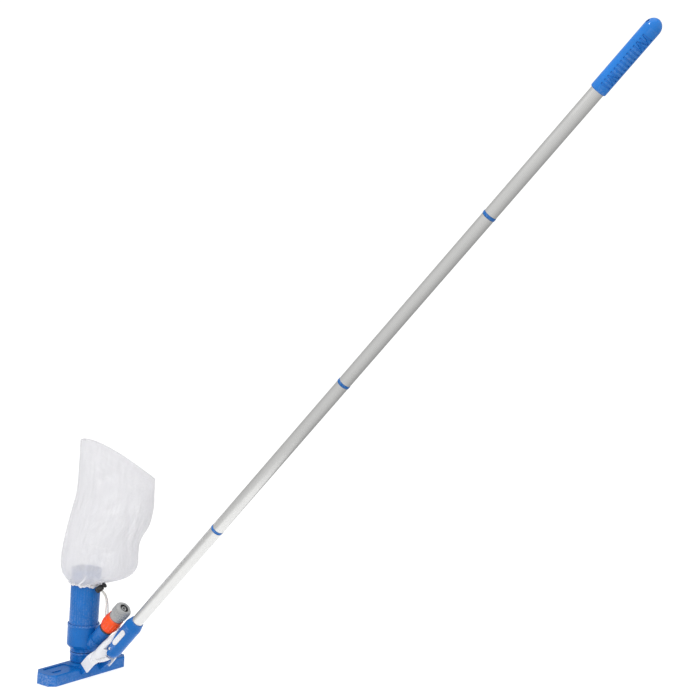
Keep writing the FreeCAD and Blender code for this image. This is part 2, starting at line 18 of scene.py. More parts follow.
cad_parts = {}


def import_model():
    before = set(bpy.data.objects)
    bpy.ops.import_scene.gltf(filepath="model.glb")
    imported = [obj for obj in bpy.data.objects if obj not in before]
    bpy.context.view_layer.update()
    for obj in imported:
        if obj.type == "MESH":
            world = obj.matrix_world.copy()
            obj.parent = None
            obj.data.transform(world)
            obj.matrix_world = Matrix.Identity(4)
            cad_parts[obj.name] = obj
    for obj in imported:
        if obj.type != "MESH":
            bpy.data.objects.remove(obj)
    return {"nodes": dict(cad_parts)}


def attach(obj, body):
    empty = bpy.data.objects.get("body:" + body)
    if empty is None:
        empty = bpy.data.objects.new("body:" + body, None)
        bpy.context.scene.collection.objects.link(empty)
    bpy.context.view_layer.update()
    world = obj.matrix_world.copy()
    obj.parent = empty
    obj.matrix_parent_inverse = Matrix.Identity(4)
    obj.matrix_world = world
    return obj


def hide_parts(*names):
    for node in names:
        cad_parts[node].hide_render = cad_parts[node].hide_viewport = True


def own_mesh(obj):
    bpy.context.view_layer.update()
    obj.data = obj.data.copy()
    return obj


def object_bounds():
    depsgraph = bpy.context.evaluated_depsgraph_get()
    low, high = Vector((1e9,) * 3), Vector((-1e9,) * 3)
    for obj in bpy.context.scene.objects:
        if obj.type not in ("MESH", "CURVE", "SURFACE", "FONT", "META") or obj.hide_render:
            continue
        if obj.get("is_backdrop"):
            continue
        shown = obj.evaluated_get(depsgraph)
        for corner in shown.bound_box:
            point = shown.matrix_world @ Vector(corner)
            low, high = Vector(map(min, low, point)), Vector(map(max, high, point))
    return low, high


LOG = logging.getLogger("vacuum_head")
MM = 0.001
FULL_TURN = 2 * math.pi
Colour = tuple[float, float, float]
Socket = bpy.types.NodeSocket
Material = bpy.types.Material
BMesh = bmesh.types.BMesh


class Slot(Enum):
    """The record's material slots."""

    BLUE = "blue_plastic"
    WHITE = "white_nylon"
    ORANGE = "orange_plastic"
    GREY = "grey_plastic"
    BLACK = "black_plastic"
    RUBBER = "seal_rubber"
    STEEL = "spring_steel"
    ALUMINIUM = "pole_aluminium"
    MESH = "bag_mesh"
    CORD = "drawcord"
    BRISTLE = "bristles"


Finishes = dict[Slot, Material]


@dataclass(frozen=True)
class SlantedAxes:
    """Axes in the middle plane whose z leans from upright to the front: x across, y behind, z along."""

    y: float
    z: float
    elevation: float

    @property
    def turn(self) -> float:
        """Lean from upright, in radians."""
        return math.radians(90.0 - self.elevation)

    def matrix(self) -> Matrix:
        """Matrix that takes points in these axes to the row frame."""
        return Matrix.Translation((0.0, self.y, self.z)) @ Matrix.Rotation(self.turn, 4, "X")


HANDLE_AXES = SlantedAxes(-0.061, 0.043, 49.0)
INLET_AXES = SlantedAxes(-0.0595, 0.0992, 48.0)
LOCK_CENTRE = Vector((-0.0037, -0.0394, 0.1691))


# ---------------------------------------- finishes


class NodeSheet:
    """A material's nodes, with short calls that add one and join it to the others."""

    def __init__(self, name: str) -> None:
        """Start a material that holds one plain shader.

        Args:
            name: The material's name.
        """
        self.material = bpy.data.materials.new(name)
        self.material.use_nodes = True
        self.tree = self.material.node_tree
        self.shader = self.tree.nodes["Principled BSDF"]
        self.where = self.add("ShaderNodeTexCoord").outputs["Object"]

    def add(self, kind: str, **settings: object) -> bpy.types.Node:
        """Add a node.

        Args:
            kind: The node's type name.
            **settings: Properties to set on it.

        Returns:
            The node.
        """
        node = self.tree.nodes.new(kind)
        for key, value in settings.items():
            setattr(node, key, value)
        return node

    def join(self, source: Socket, target: Socket) -> None:
        """Link two sockets."""
        self.tree.links.new(source, target)

    def feed(self, target: Socket, value: Socket | float | Sequence[float]) -> None:
        """Link a socket, or set a constant on it.

        Args:
            target: The input socket.
            value: An output socket or a constant.
        """
        if isinstance(value, Socket):
            self.join(value, target)
        else:
            target.default_value = value

    def placed(self, axes: SlantedAxes) -> Socket:
        """Object coordinates seen in slanted axes.

        Args:
            axes: The slanted axes.

        Returns:
            The coordinates.
        """
        node = self.add("ShaderNodeMapping", vector_type="TEXTURE")
        self.join(self.where, node.inputs["Vector"])
        node.inputs["Location"].default_value = (0.0, axes.y, axes.z)
        node.inputs["Rotation"].default_value = (axes.turn, 0.0, 0.0)
        return node.outputs["Vector"]

    def stretched(self, vector: Socket, scale: Sequence[float]) -> Socket:
        """Multiply each part of a vector.

        Args:
            vector: The vector.
            scale: A factor for each part.

        Returns:
            The product.
        """
        node = self.add("ShaderNodeVectorMath", operation="MULTIPLY")
        self.join(vector, node.inputs[0])
        node.inputs[1].default_value = scale
        return node.outputs["Vector"]

    def grain(self, scale: float, detail: float = 2.0, vector: Socket | None = None) -> Socket:
        """Soft cloudy pattern.

        Args:
            scale: Repeats per metre, or per unit of the vector.
            detail: Finer octaves.
            vector: Where to read it; the piece's own coordinates if left out.

        Returns:
            A value around 0.5.
        """
        node = self.add("ShaderNodeTexNoise")
        self.join(vector or self.where, node.inputs["Vector"])
        node.inputs["Scale"].default_value = scale
        node.inputs["Detail"].default_value = detail
        return node.outputs["Fac"]

    def maths(self, operation: str, first: Socket | float, second: Socket | float = 0.0) -> Socket:
        """One sum on one or two values.

        Args:
            operation: The sum's name.
            first: Its first value.
            second: Its second value.

        Returns:
            The outcome.
        """
        node = self.add("ShaderNodeMath", operation=operation)
        self.feed(node.inputs[0], first)
        self.feed(node.inputs[1], second)
        return node.outputs["Value"]

    def span(self, value: Socket, old: tuple[float, float], new: tuple[float, float]) -> Socket:
        """Map one range of values to another, held at its ends.

        Args:
            value: The value.
            old: Its range.
            new: The range that it is mapped to.

        Returns:
            The mapped value.
        """
        node = self.add("ShaderNodeMapRange")
        self.join(value, node.inputs["Value"])
        node.inputs["From Min"].default_value, node.inputs["From Max"].default_value = old
        node.inputs["To Min"].default_value, node.inputs["To Max"].default_value = new
        return node.outputs["Result"]

    def blend(self, share: Socket, low: Colour | Socket, high: Colour | Socket) -> Socket:
        """Mix two colours.

        Args:
            share: From 0, all low, to 1, all high.
            low: A colour or a socket.
            high: A colour or a socket.

        Returns:
            The mixed colour.
        """
        node = self.add("ShaderNodeMix", data_type="RGBA")
        self.join(share, node.inputs["Factor"])
        for target, value in ((node.inputs[6], low), (node.inputs[7], high)):
            self.feed(target, value if isinstance(value, Socket) else (*value, 1.0))
        return node.outputs[2]

    def rounded(self, radius: float) -> Socket:
        """Round hard edges off.

        Args:
            radius: How far, in metres.

        Returns:
            The normal.
        """
        node = self.add("ShaderNodeBevel", samples=4)
        node.inputs["Radius"].default_value = radius
        return node.outputs["Normal"]

    def relief(self, height: Socket, depth: float, strength: float, normal: Socket | None = None) -> Socket:
        """Bumps from a height.

        Args:
            height: The pattern, from 0 to 1.
            depth: How far 1 stands above 0, in metres.
            strength: Share of it that is used.
            normal: The normal to start from.

        Returns:
            The new normal.
        """
        node = self.add("ShaderNodeBump")
        node.inputs["Distance"].default_value = depth
        node.inputs["Strength"].default_value = strength
        self.join(height, node.inputs["Height"])
        if normal is not None:
            self.join(normal, node.inputs["Normal"])
        return node.outputs["Normal"]

    def worn_edges(self) -> Socket:
        """Find where wear shows.

        Returns:
            A share that is full on outward edges.
        """
        geometry = self.add("ShaderNodeNewGeometry")
        edge = self.span(geometry.outputs["Pointiness"], (0.52, 0.62), (0.0, 1.0))
        return self.maths("MULTIPLY", edge, self.span(self.grain(350.0, 3.0), (0.4, 0.65), (0.0, 1.0)))

    def finish(self, colour: Socket, roughness: Socket, normal: Socket, **constants: object) -> Material:
        """Join the patterns to the shader.

        Args:
            colour: Base colour.
            roughness: Roughness.
            normal: Normal.
            **constants: Shader inputs that are the same everywhere, with underscores for spaces.

        Returns:
            The material.
        """
        self.join(colour, self.shader.inputs["Base Color"])
        self.join(roughness, self.shader.inputs["Roughness"])
        self.join(normal, self.shader.inputs["Normal"])
        for key, value in constants.items():
            self.shader.inputs[key.replace("_", " ")].default_value = value
        return self.material


def scaled(colour: Colour, share: float) -> Colour:
    """A colour made lighter or darker."""
    return tuple(min(1.0, part * share) for part in colour)


@dataclass(frozen=True)
class MouldedPlastic:
    """Injection-moulded plastic: flow clouds, a fine tool grain, rubbed edges and a trace of dust."""

    name: str
    colour: Colour
    roughness: float
    specular: float = 0.5
    coat: float = 0.0
    grain_scale: float = 1700.0
    grain_depth: float = 0.00001
    edge: float = 0.0004
    scatter: float = 0.0

    def make(self) -> Material:
        """Build the material.

        Returns:
            The material.
        """
        sheet = NodeSheet(self.name)
        clouds = sheet.span(sheet.grain(42.0, 3.0), (0.35, 0.65), (0.0, 1.0))
        base = sheet.blend(clouds, scaled(self.colour, 0.93), scaled(self.colour, 1.06))
        lighter = tuple(part + (1.0 - part) * 0.16 for part in self.colour)
        colour = sheet.blend(sheet.worn_edges(), base, lighter)
        rubbed = sheet.grain(1.0, 4.0, sheet.stretched(sheet.where, (900.0, 900.0, 140.0)))
        smears = sheet.maths("ADD", sheet.grain(70.0, 4.0), sheet.maths("MULTIPLY", rubbed, 0.35))
        low, high = self.roughness * 0.8, self.roughness * 1.25
        roughness = sheet.span(smears, (0.5, 0.9), (low, high))
        ripple = sheet.relief(sheet.grain(120.0, 1.0), 0.00008, 0.3, sheet.rounded(self.edge))
        normal = sheet.relief(sheet.grain(self.grain_scale, 2.0), self.grain_depth, 0.35, ripple)
        return sheet.finish(
            colour, roughness, normal, Specular_IOR_Level=self.specular, Coat_Weight=self.coat,
            Coat_Roughness=0.12, Subsurface_Weight=self.scatter, Subsurface_Radius=(0.004, 0.004, 0.005),
            Subsurface_Scale=0.6,
        )


@dataclass(frozen=True)
class DrawnAluminium:
    """Satin tube with fine flutes and drawing lines along it, and painted shade in the flute grooves."""

    name: str
    colour: Colour
    flutes: int
    flute_depth: float
    roughness: float = 0.36
    drawing: tuple[float, float, float] = (900.0, 900.0, 9.0)

    def make(self) -> Material:
        """Build the material.

        Returns:
            The material.
        """
        sheet = NodeSheet(self.name)
        local = sheet.placed(HANDLE_AXES)
        parts = sheet.add("ShaderNodeSeparateXYZ")
        sheet.join(local, parts.inputs[0])
        angle = sheet.maths("ARCTAN2", parts.outputs["Y"], parts.outputs["X"])
        wave = sheet.maths("SINE", sheet.maths("MULTIPLY", angle, float(self.flutes)))
        flute = sheet.span(wave, (-1.0, 1.0), (0.0, 1.0))
        drawn = sheet.grain(1.0, 4.0, sheet.stretched(local, self.drawing))
        clouds = sheet.grain(24.0, 4.0)
        # Painted shade: the flute term darkens the colour towards each flute's low side, as shade in the grooves
        # would; the drawing-line term is the metal's own tone.
        shade = sheet.maths("ADD", sheet.maths("MULTIPLY", flute, 0.55), sheet.maths("MULTIPLY", drawn, 0.45))
        base = sheet.blend(shade, scaled(self.colour, 0.90), scaled(self.colour, 1.06))
        spots = sheet.span(sheet.grain(160.0, 2.0), (0.68, 0.78), (0.0, 0.25))
        colour = sheet.blend(spots, base, scaled(self.colour, 0.85))
        roughness = sheet.span(clouds, (0.35, 0.65), (self.roughness * 0.88, self.roughness * 1.14))
        lines = sheet.relief(drawn, 0.00001, 0.4)
        normal = sheet.relief(flute, self.flute_depth, 1.0, lines)
        return sheet.finish(colour, roughness, normal, Metallic=0.85)


@dataclass(frozen=True)
class WireSteel:
    """Bright stainless wire and pins, with fine turning lines."""

    name: str
    colour: Colour
    roughness: float = 0.24

    def make(self) -> Material:
        """Build the material.

        Returns:
            The material.
        """
        sheet = NodeSheet(self.name)
        lines = sheet.grain(1.0, 3.0, sheet.stretched(sheet.where, (400.0, 3200.0, 3200.0)))
        stain = sheet.span(sheet.grain(160.0, 3.0), (0.45, 0.7), (0.0, 1.0))
        colour = sheet.blend(stain, self.colour, scaled(self.colour, 0.8))
        roughness = sheet.span(lines, (0.3, 0.7), (self.roughness * 0.7, self.roughness * 1.4))
        normal = sheet.relief(lines, 0.00003, 0.5, sheet.rounded(0.0002))
        return sheet.finish(colour, roughness, normal, Metallic=1.0)


@dataclass(frozen=True)
class SealRubber:
    """Matt rubber with talc in its pores."""

    name: str
    colour: Colour

    def make(self) -> Material:
        """Build the material.

        Returns:
            The material.
        """
        sheet = NodeSheet(self.name)
        talc = sheet.span(sheet.grain(800.0, 4.0), (0.55, 0.75), (0.0, 0.5))
        colour = sheet.blend(talc, self.colour, (0.09, 0.09, 0.09))
        roughness = sheet.span(sheet.grain(300.0), (0.3, 0.7), (0.62, 0.85))
        normal = sheet.relief(sheet.grain(3000.0, 3.0), 0.00004, 0.7, sheet.rounded(0.0003))
        return sheet.finish(colour, roughness, normal, Specular_IOR_Level=0.35)


@dataclass(frozen=True)
class FineNet:
    """Thin knitted net: a diamond weave with small holes, and light that comes through it."""

    name: str
    colour: Colour
    columns: float
    rows: float
    hole_cover: float

    def make(self) -> Material:
        """Build the material.

        Returns:
            The material.
        """
        sheet = NodeSheet(self.name)
        layout = sheet.add("ShaderNodeUVMap", uv_map="cloth").outputs["UV"]
        parts = sheet.add("ShaderNodeSeparateXYZ")
        sheet.join(layout, parts.inputs[0])
        across = sheet.maths("MULTIPLY", parts.outputs["X"], self.columns * FULL_TURN)
        along = sheet.maths("MULTIPLY", parts.outputs["Y"], self.rows * FULL_TURN)
        one = sheet.maths("SINE", sheet.maths("ADD", across, along))
        other = sheet.maths("SINE", sheet.maths("SUBTRACT", across, along))
        threads = sheet.maths("MAXIMUM", one, other)
        doubled = sheet.add("ShaderNodeAttribute", attribute_name="folded").outputs["Fac"]
        open_cover = sheet.span(threads, (-0.1, 0.85), (self.hole_cover, 0.78))
        cover = sheet.maths("MAXIMUM", open_cover, sheet.maths("MULTIPLY", doubled, 0.95))
        slub = sheet.grain(1.0, 3.0, sheet.stretched(layout, (90.0, 9.0, 1.0)))
        shade = sheet.span(slub, (0.35, 0.65), (0.0, 1.0))
        colour = sheet.blend(shade, scaled(self.colour, 0.955), scaled(self.colour, 1.0))
        alpha = sheet.maths("MULTIPLY", cover, sheet.span(slub, (0.3, 0.7), (0.93, 1.0)))
        sheet.join(alpha, sheet.shader.inputs["Alpha"])
        roughness = sheet.span(slub, (0.3, 0.7), (0.68, 0.86))
        puckers = sheet.relief(sheet.grain(120.0, 3.0), 0.0009, 0.30)
        normal = sheet.relief(threads, 0.00012, 0.5, puckers)
        return sheet.finish(
            colour, roughness, normal, Sheen_Weight=0.25, Sheen_Roughness=0.5, Specular_IOR_Level=0.25,
            Subsurface_Weight=0.35, Subsurface_Radius=(0.004, 0.004, 0.004), Subsurface_Scale=1.0,
        )


@dataclass(frozen=True)
class BraidedCord:
    """Soft braided cord: crossing strands and a little fuzz, with painted shade in the gaps between strands."""

    name: str
    colour: Colour
    strand: float = 1150.0

    def make(self) -> Material:
        """Build the material.

        Returns:
            The material.
        """
        sheet = NodeSheet(self.name)
        cells = sheet.add("ShaderNodeTexVoronoi")
        sheet.join(sheet.stretched(sheet.where, (1.0, 1.0, 0.6)), cells.inputs["Vector"])
        cells.inputs["Scale"].default_value = self.strand
        strands = sheet.span(cells.outputs["Distance"], (0.0, 0.7), (1.0, 0.0))
        # Painted shade: the colour is darker in the gaps between strands, where the same pattern sinks the bump.
        colour = sheet.blend(strands, scaled(self.colour, 0.72), scaled(self.colour, 1.06))
        roughness = sheet.span(sheet.grain(2400.0), (0.3, 0.7), (0.75, 0.92))
        normal = sheet.relief(strands, 0.0003, 0.8)
        return sheet.finish(colour, roughness, normal, Sheen_Weight=0.3, Specular_IOR_Level=0.3)


FINISHES = {
    Slot.BLUE: MouldedPlastic("blue_abs", (0.004, 0.132, 0.455), 0.26, specular=0.22),
    Slot.WHITE: MouldedPlastic("white_nylon", (0.71, 0.715, 0.74), 0.42, specular=0.35, scatter=0.15),
    Slot.ORANGE: MouldedPlastic("orange_abs", (0.92, 0.085, 0.010), 0.30, specular=0.25),
    Slot.GREY: MouldedPlastic("grey_nylon", (0.36, 0.365, 0.365), 0.50, specular=0.3, grain_scale=1300.0,
                              grain_depth=0.00003),
    Slot.BLACK: MouldedPlastic("black_acetal", (0.010, 0.010, 0.012), 0.34, specular=0.3, grain_depth=0.00002),
    Slot.RUBBER: SealRubber("seal_rubber", (0.018, 0.018, 0.02)),
    Slot.STEEL: WireSteel("stainless_wire", (0.60, 0.60, 0.61)),
    Slot.ALUMINIUM: DrawnAluminium("drawn_aluminium", (0.70, 0.70, 0.69), 30, 0.00003, 0.31),
    Slot.MESH: FineNet("white_net", (0.92, 0.915, 0.945), 220.0, 140.0, 0.10),
    Slot.CORD: BraidedCord("ivory_braid", (0.88, 0.87, 0.82)),
    Slot.BRISTLE: MouldedPlastic("bristle_nylon", (0.86, 0.86, 0.84), 0.45, edge=0.0001, scatter=0.2),
}
GRIP_BLUE = MouldedPlastic("blue_grip_vinyl", (0.004, 0.190, 0.66), 0.20, specular=0.45)


# ---------------------------------------- pieces


def shown(name: str, data: bpy.types.ID) -> bpy.types.Object:
    """Make an object and put it in the scene.

    Args:
        name: Its name.
        data: Its mesh, curve, lamp or camera.

    Returns:
        The object.
    """
    thing = bpy.data.objects.new(name, data)
    bpy.context.scene.collection.objects.link(thing)
    return thing


@dataclass
class Piece:
    """A finished mesh that rides on a body and stands for CAD nodes."""

    name: str
    body: str
    slot: Slot
    material: Material
    replaces: tuple[str, ...] = ()

    def settle(self, bm: BMesh, smooth: bool = True) -> bpy.types.Object:
        """Turn a bmesh into the piece's object and set it on its body.

        Args:
            bm: The finished mesh, in metres in the row frame.
            smooth: True for rounded shading.

        Returns:
            The object.
        """
        mesh = bpy.data.meshes.new(self.name)
        bm.to_mesh(mesh)
        bm.free()
        mesh.polygons.foreach_set("use_smooth", [smooth] * len(mesh.polygons))
        mesh.materials.append(self.material)
        thing = shown(self.name, mesh)
        self.attach(thing)
        return thing

    def attach(self, thing: bpy.types.Object) -> None:
        """Set an object on its body, and hide the nodes that it stands for.

        Args:
            thing: The object.
        """
        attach(thing, self.body)
        if self.replaces:
            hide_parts(*self.replaces)
        LOG.info("%s rides on %s", self.name, self.body)


@dataclass
class Dresser:
    """Gives CAD nodes their finish."""

    nodes: dict[str, bpy.types.Object]
    finishes: Finishes

    def dress(self, finish: Slot | Material, *names: str) -> None:
        """Put a finish on CAD nodes.

        Args:
            finish: The finish, or the slot that it belongs to.
            *names: The nodes.
        """
        material = self.finishes[finish] if isinstance(finish, Slot) else finish
        for name in names:
            node = self.nodes[name]
            if not node.material_slots:
                node.data.materials.append(material)
            for place in node.material_slots:
                place.material = material
            LOG.info("%s dressed in %s", name, material.name)


def helix(bm: BMesh, radius: float, wire: float, start: float, end: float, turns: float) -> None:
    """Wind a round wire about the z axis.

    Args:
        bm: The mesh that it is added to.
        radius: From the axis to the wire's middle.
        wire: The wire's own radius.
        start: Height of the first turn.
        end: Height of the last turn.
        turns: How many.
    """
    steps = round(20 * turns)
    upright = Matrix.Translation((radius, 0.0, start)) @ Matrix.Rotation(math.pi / 2, 4, "X")
    made = bmesh.ops.create_circle(bm, segments=8, radius=wire, cap_ends=False, matrix=upright)
    edges = list({edge for vert in made["verts"] for edge in vert.link_edges})
    before = set(bm.verts) - set(made["verts"])
    lift = Vector((0.0, 0.0, (end - start) / steps))
    bmesh.ops.spin(bm, geom=made["verts"] + edges, cent=(0, 0, 0), axis=(0, 0, 1), dvec=lift,
                   angle=FULL_TURN * turns, steps=steps, use_merge=False)
    wound = [edge for edge in bm.edges if edge.is_boundary and edge.verts[0] not in before]
    bmesh.ops.holes_fill(bm, edges=wound, sides=0)


def tidy_normals(bm: BMesh) -> None:
    """Merge doubles and turn every face outwards."""
    bmesh.ops.remove_doubles(bm, verts=bm.verts, dist=1e-6)
    bmesh.ops.recalc_face_normals(bm, faces=bm.faces)


# ---------------------------------------- camera and studio


@dataclass(frozen=True)
class CameraView:
    """A long view from the front left, a little above the floor."""

    place: tuple[float, float, float] = (-1.759, -1.698, 0.752)
    yaw: float = 0.993
    pitch: float = 0.047
    roll: float = 0.068
    lens: float = 66.9
    film: float = 36.0

    def build(self) -> None:
        """Make the camera and set it as the scene's."""
        forward = Vector((math.sin(self.yaw) * math.cos(self.pitch),
                          math.cos(self.yaw) * math.cos(self.pitch), -math.sin(self.pitch)))
        level = Vector((math.cos(self.yaw), -math.sin(self.yaw), 0.0))
        upright = level.cross(forward)
        right = level * math.cos(self.roll) + upright * math.sin(self.roll)
        up = upright * math.cos(self.roll) - level * math.sin(self.roll)
        turn = Matrix((right, up, -forward)).transposed()
        data = bpy.data.cameras.new("view")
        data.lens = self.lens
        data.sensor_width = self.film
        data.clip_start, data.clip_end = 0.05, 60.0
        camera = shown("view", data)
        camera.matrix_world = Matrix.Translation(self.place) @ turn.to_4x4()
        bpy.context.scene.camera = camera


@dataclass(frozen=True)
class SoftBox:
    """A square lamp that looks at a point."""

    name: str
    place: tuple[float, float, float]
    target: tuple[float, float, float]
    size: tuple[float, float]
    power: float

    def build(self) -> None:
        """Hang the lamp."""
        data = bpy.data.lights.new(self.name, "AREA")
        data.shape = "RECTANGLE"
        data.size, data.size_y = self.size
        data.energy = self.power
        lamp = shown(self.name, data)
        lamp.location = self.place
        aim = Vector(self.target) - Vector(self.place)
        lamp.rotation_euler = aim.to_track_quat("-Z", "Y").to_euler()


@dataclass(frozen=True)
class Studio:
    """A white floor, a surround brighter towards the viewer, and large soft lamps."""

    floor_radius: float = 0.6
    floor_level: float = -0.0004
    backdrop: float = 1.1
    surround: tuple[float, float] = (0.34, 0.96)
    viewer: tuple[float, float, float] = (-0.72, -0.46, 0.52)
    glow: float = 0.78
    lamps: tuple[SoftBox, ...] = (
        SoftBox("key", (-2.2, 0.0, 3.0), (0.0, -0.6, 0.6), (0.6, 0.6), 28.0),
        SoftBox("fill", (0.6, -2.8, 1.6), (0.0, -0.4, 0.5), (2.0, 2.0), 2.5),
        SoftBox("overhead", (-0.3, -0.6, 3.4), (0.0, -0.4, 0.5), (3.0, 3.0), 16.0),
    )

    def build(self) -> None:
        """Make the floor, the surround and the lamps."""
        bpy.context.scene.view_settings.view_transform = "Standard"
        self.surroundings()
        self.floor()
        for lamp in self.lamps:
            lamp.build()
        LOG.info("studio ready")

    def surroundings(self) -> None:
        """Plain white where it is seen, and soft light that falls off away from the viewer."""
        world = bpy.data.worlds.new("surround")
        world.use_nodes = True
        tree = world.node_tree
        back = tree.nodes["Background"]
        back.inputs["Color"].default_value = (1.0, 1.0, 1.0, 1.0)
        facing = tree.nodes.new("ShaderNodeVectorMath")
        facing.operation = "DOT_PRODUCT"
        facing.inputs[1].default_value = self.viewer
        tree.links.new(tree.nodes.new("ShaderNodeTexCoord").outputs["Generated"], facing.inputs[0])
        level = tree.nodes.new("ShaderNodeMapRange")
        level.inputs["From Min"].default_value = -1.0
        level.inputs["To Min"].default_value, level.inputs["To Max"].default_value = self.surround
        tree.links.new(facing.outputs["Value"], level.inputs["Value"])
        strength = tree.nodes.new("ShaderNodeMix")
        tree.links.new(tree.nodes.new("ShaderNodeLightPath").outputs["Is Camera Ray"], strength.inputs["Factor"])
        tree.links.new(level.outputs["Result"], strength.inputs["A"])
        strength.inputs["B"].default_value = self.backdrop
        tree.links.new(strength.outputs["Result"], back.inputs["Strength"])
        bpy.context.scene.world = world

    def floor(self) -> None:
        """White floor just below the sole's bristles."""
        bm = bmesh.new()
        bmesh.ops.create_circle(bm, cap_ends=True, segments=96, radius=self.floor_radius)
        mesh = bpy.data.meshes.new("floor")
        bm.to_mesh(mesh)
        bm.free()
        sheet = NodeSheet("floor_paper")
        clouds = sheet.span(sheet.grain(0.6, 3.0), (0.3, 0.7), (0.0, 1.0))
        colour = sheet.blend(clouds, (0.46, 0.46, 0.46), (0.50, 0.50, 0.50))
        roughness = sheet.span(sheet.grain(40.0), (0.3, 0.7), (0.8, 0.95))
        normal = sheet.relief(sheet.grain(700.0, 3.0), 0.0001, 0.2)
        mesh.materials.append(sheet.finish(colour, roughness, normal, Specular_IOR_Level=0.1,
                                           Emission_Color=(1.0, 1.0, 1.0, 1.0), Emission_Strength=self.glow))
        floor = shown("floor", mesh)
        floor.location.z = self.floor_level
        floor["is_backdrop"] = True


# ---------------------------------------- drawcord and bag


@dataclass
class Drawcord:
    """The drawcord's free loop, from the cord lock down beside the inlet and back."""

    diameter: float = 2.4 * MM
    length: float = 0.168
    route: tuple[tuple[float, float, float], ...] = (
        (-0.0035, -0.0437, 0.1649), (0.0000, -0.0469, 0.1602), (0.0044, -0.0481, 0.1512),
        (0.0086, -0.0463, 0.1387), (0.0113, -0.0434, 0.1257), (0.0137, -0.0423, 0.1132),
        (0.0154, -0.0419, 0.1027), (0.0202, -0.0394, 0.0942), (0.0287, -0.0339, 0.0937),
        (0.0325, -0.0308, 0.1027), (0.0305, -0.0314, 0.1147), (0.0262, -0.0347, 0.1272),
        (0.0204, -0.0387, 0.1397), (0.0131, -0.0422, 0.1512), (0.0059, -0.0428, 0.1605),
        (0.0012, -0.0407, 0.1649),
    )

    def build(self, material: Material) -> None:
        """Args:
            material: The braid.
        """
        curve = bpy.data.curves.new("drawcord", "CURVE")
        curve.dimensions = "3D"
        curve.bevel_depth = self.diameter / 2
        curve.bevel_resolution = 4
        curve.use_fill_caps = True
        spline = curve.splines.new("NURBS")
        spline.points.add(len(self.route) - 1)
        for point, place in zip(spline.points, self.route):
            point.co = (*place, 1.0)
        spline.order_u = 3
        spline.use_endpoint_u = True
        spline.resolution_u = 10
        curve.materials.append(material)
        cord = shown("drawcord", curve)
        Piece("drawcord", "head", Slot.CORD, material, ("drawcord_loop",)).attach(cord)


@dataclass(frozen=True)
class BagRing:
    """One level of the bag: its offset and height, half width and half depth, and lean in degrees."""

    offset: float
    height: float
    half_width: float
    half_depth: float
    lean: float

    def mixed(self, others: Sequence["BagRing"], weights: Sequence[float]) -> "BagRing":
        """Weighted sum of this ring and others.

        Args:
            others: The other rings.
            weights: A weight for each ring, this one's first.

        Returns:
            The sum.
        """
        rings = (self, *others)
        names = ("offset", "height", "half_width", "half_depth", "lean")
        return BagRing(*(sum(getattr(r, n) * w for r, w in zip(rings, weights)) for n in names))


@dataclass(frozen=True)
class Fold:
    """A fold of the cloth: its angle and height, how it slants, its reach up and down, and its depth."""

    angle: float
    height: float
    slope: float
    reach: float
    depth: float

    def aside(self, angle: float, height: float) -> float:
        """Angle from the fold's line at a height."""
        return math.remainder(angle - self.angle - self.slope * (height - self.height), FULL_TURN)

    def ridge(self, off: float, width: float, height: float) -> float:
        """Share of a rounded ridge at an angle off its middle."""
        return math.exp(-((off / width) ** 2) - ((height - self.height) / self.reach) ** 2)


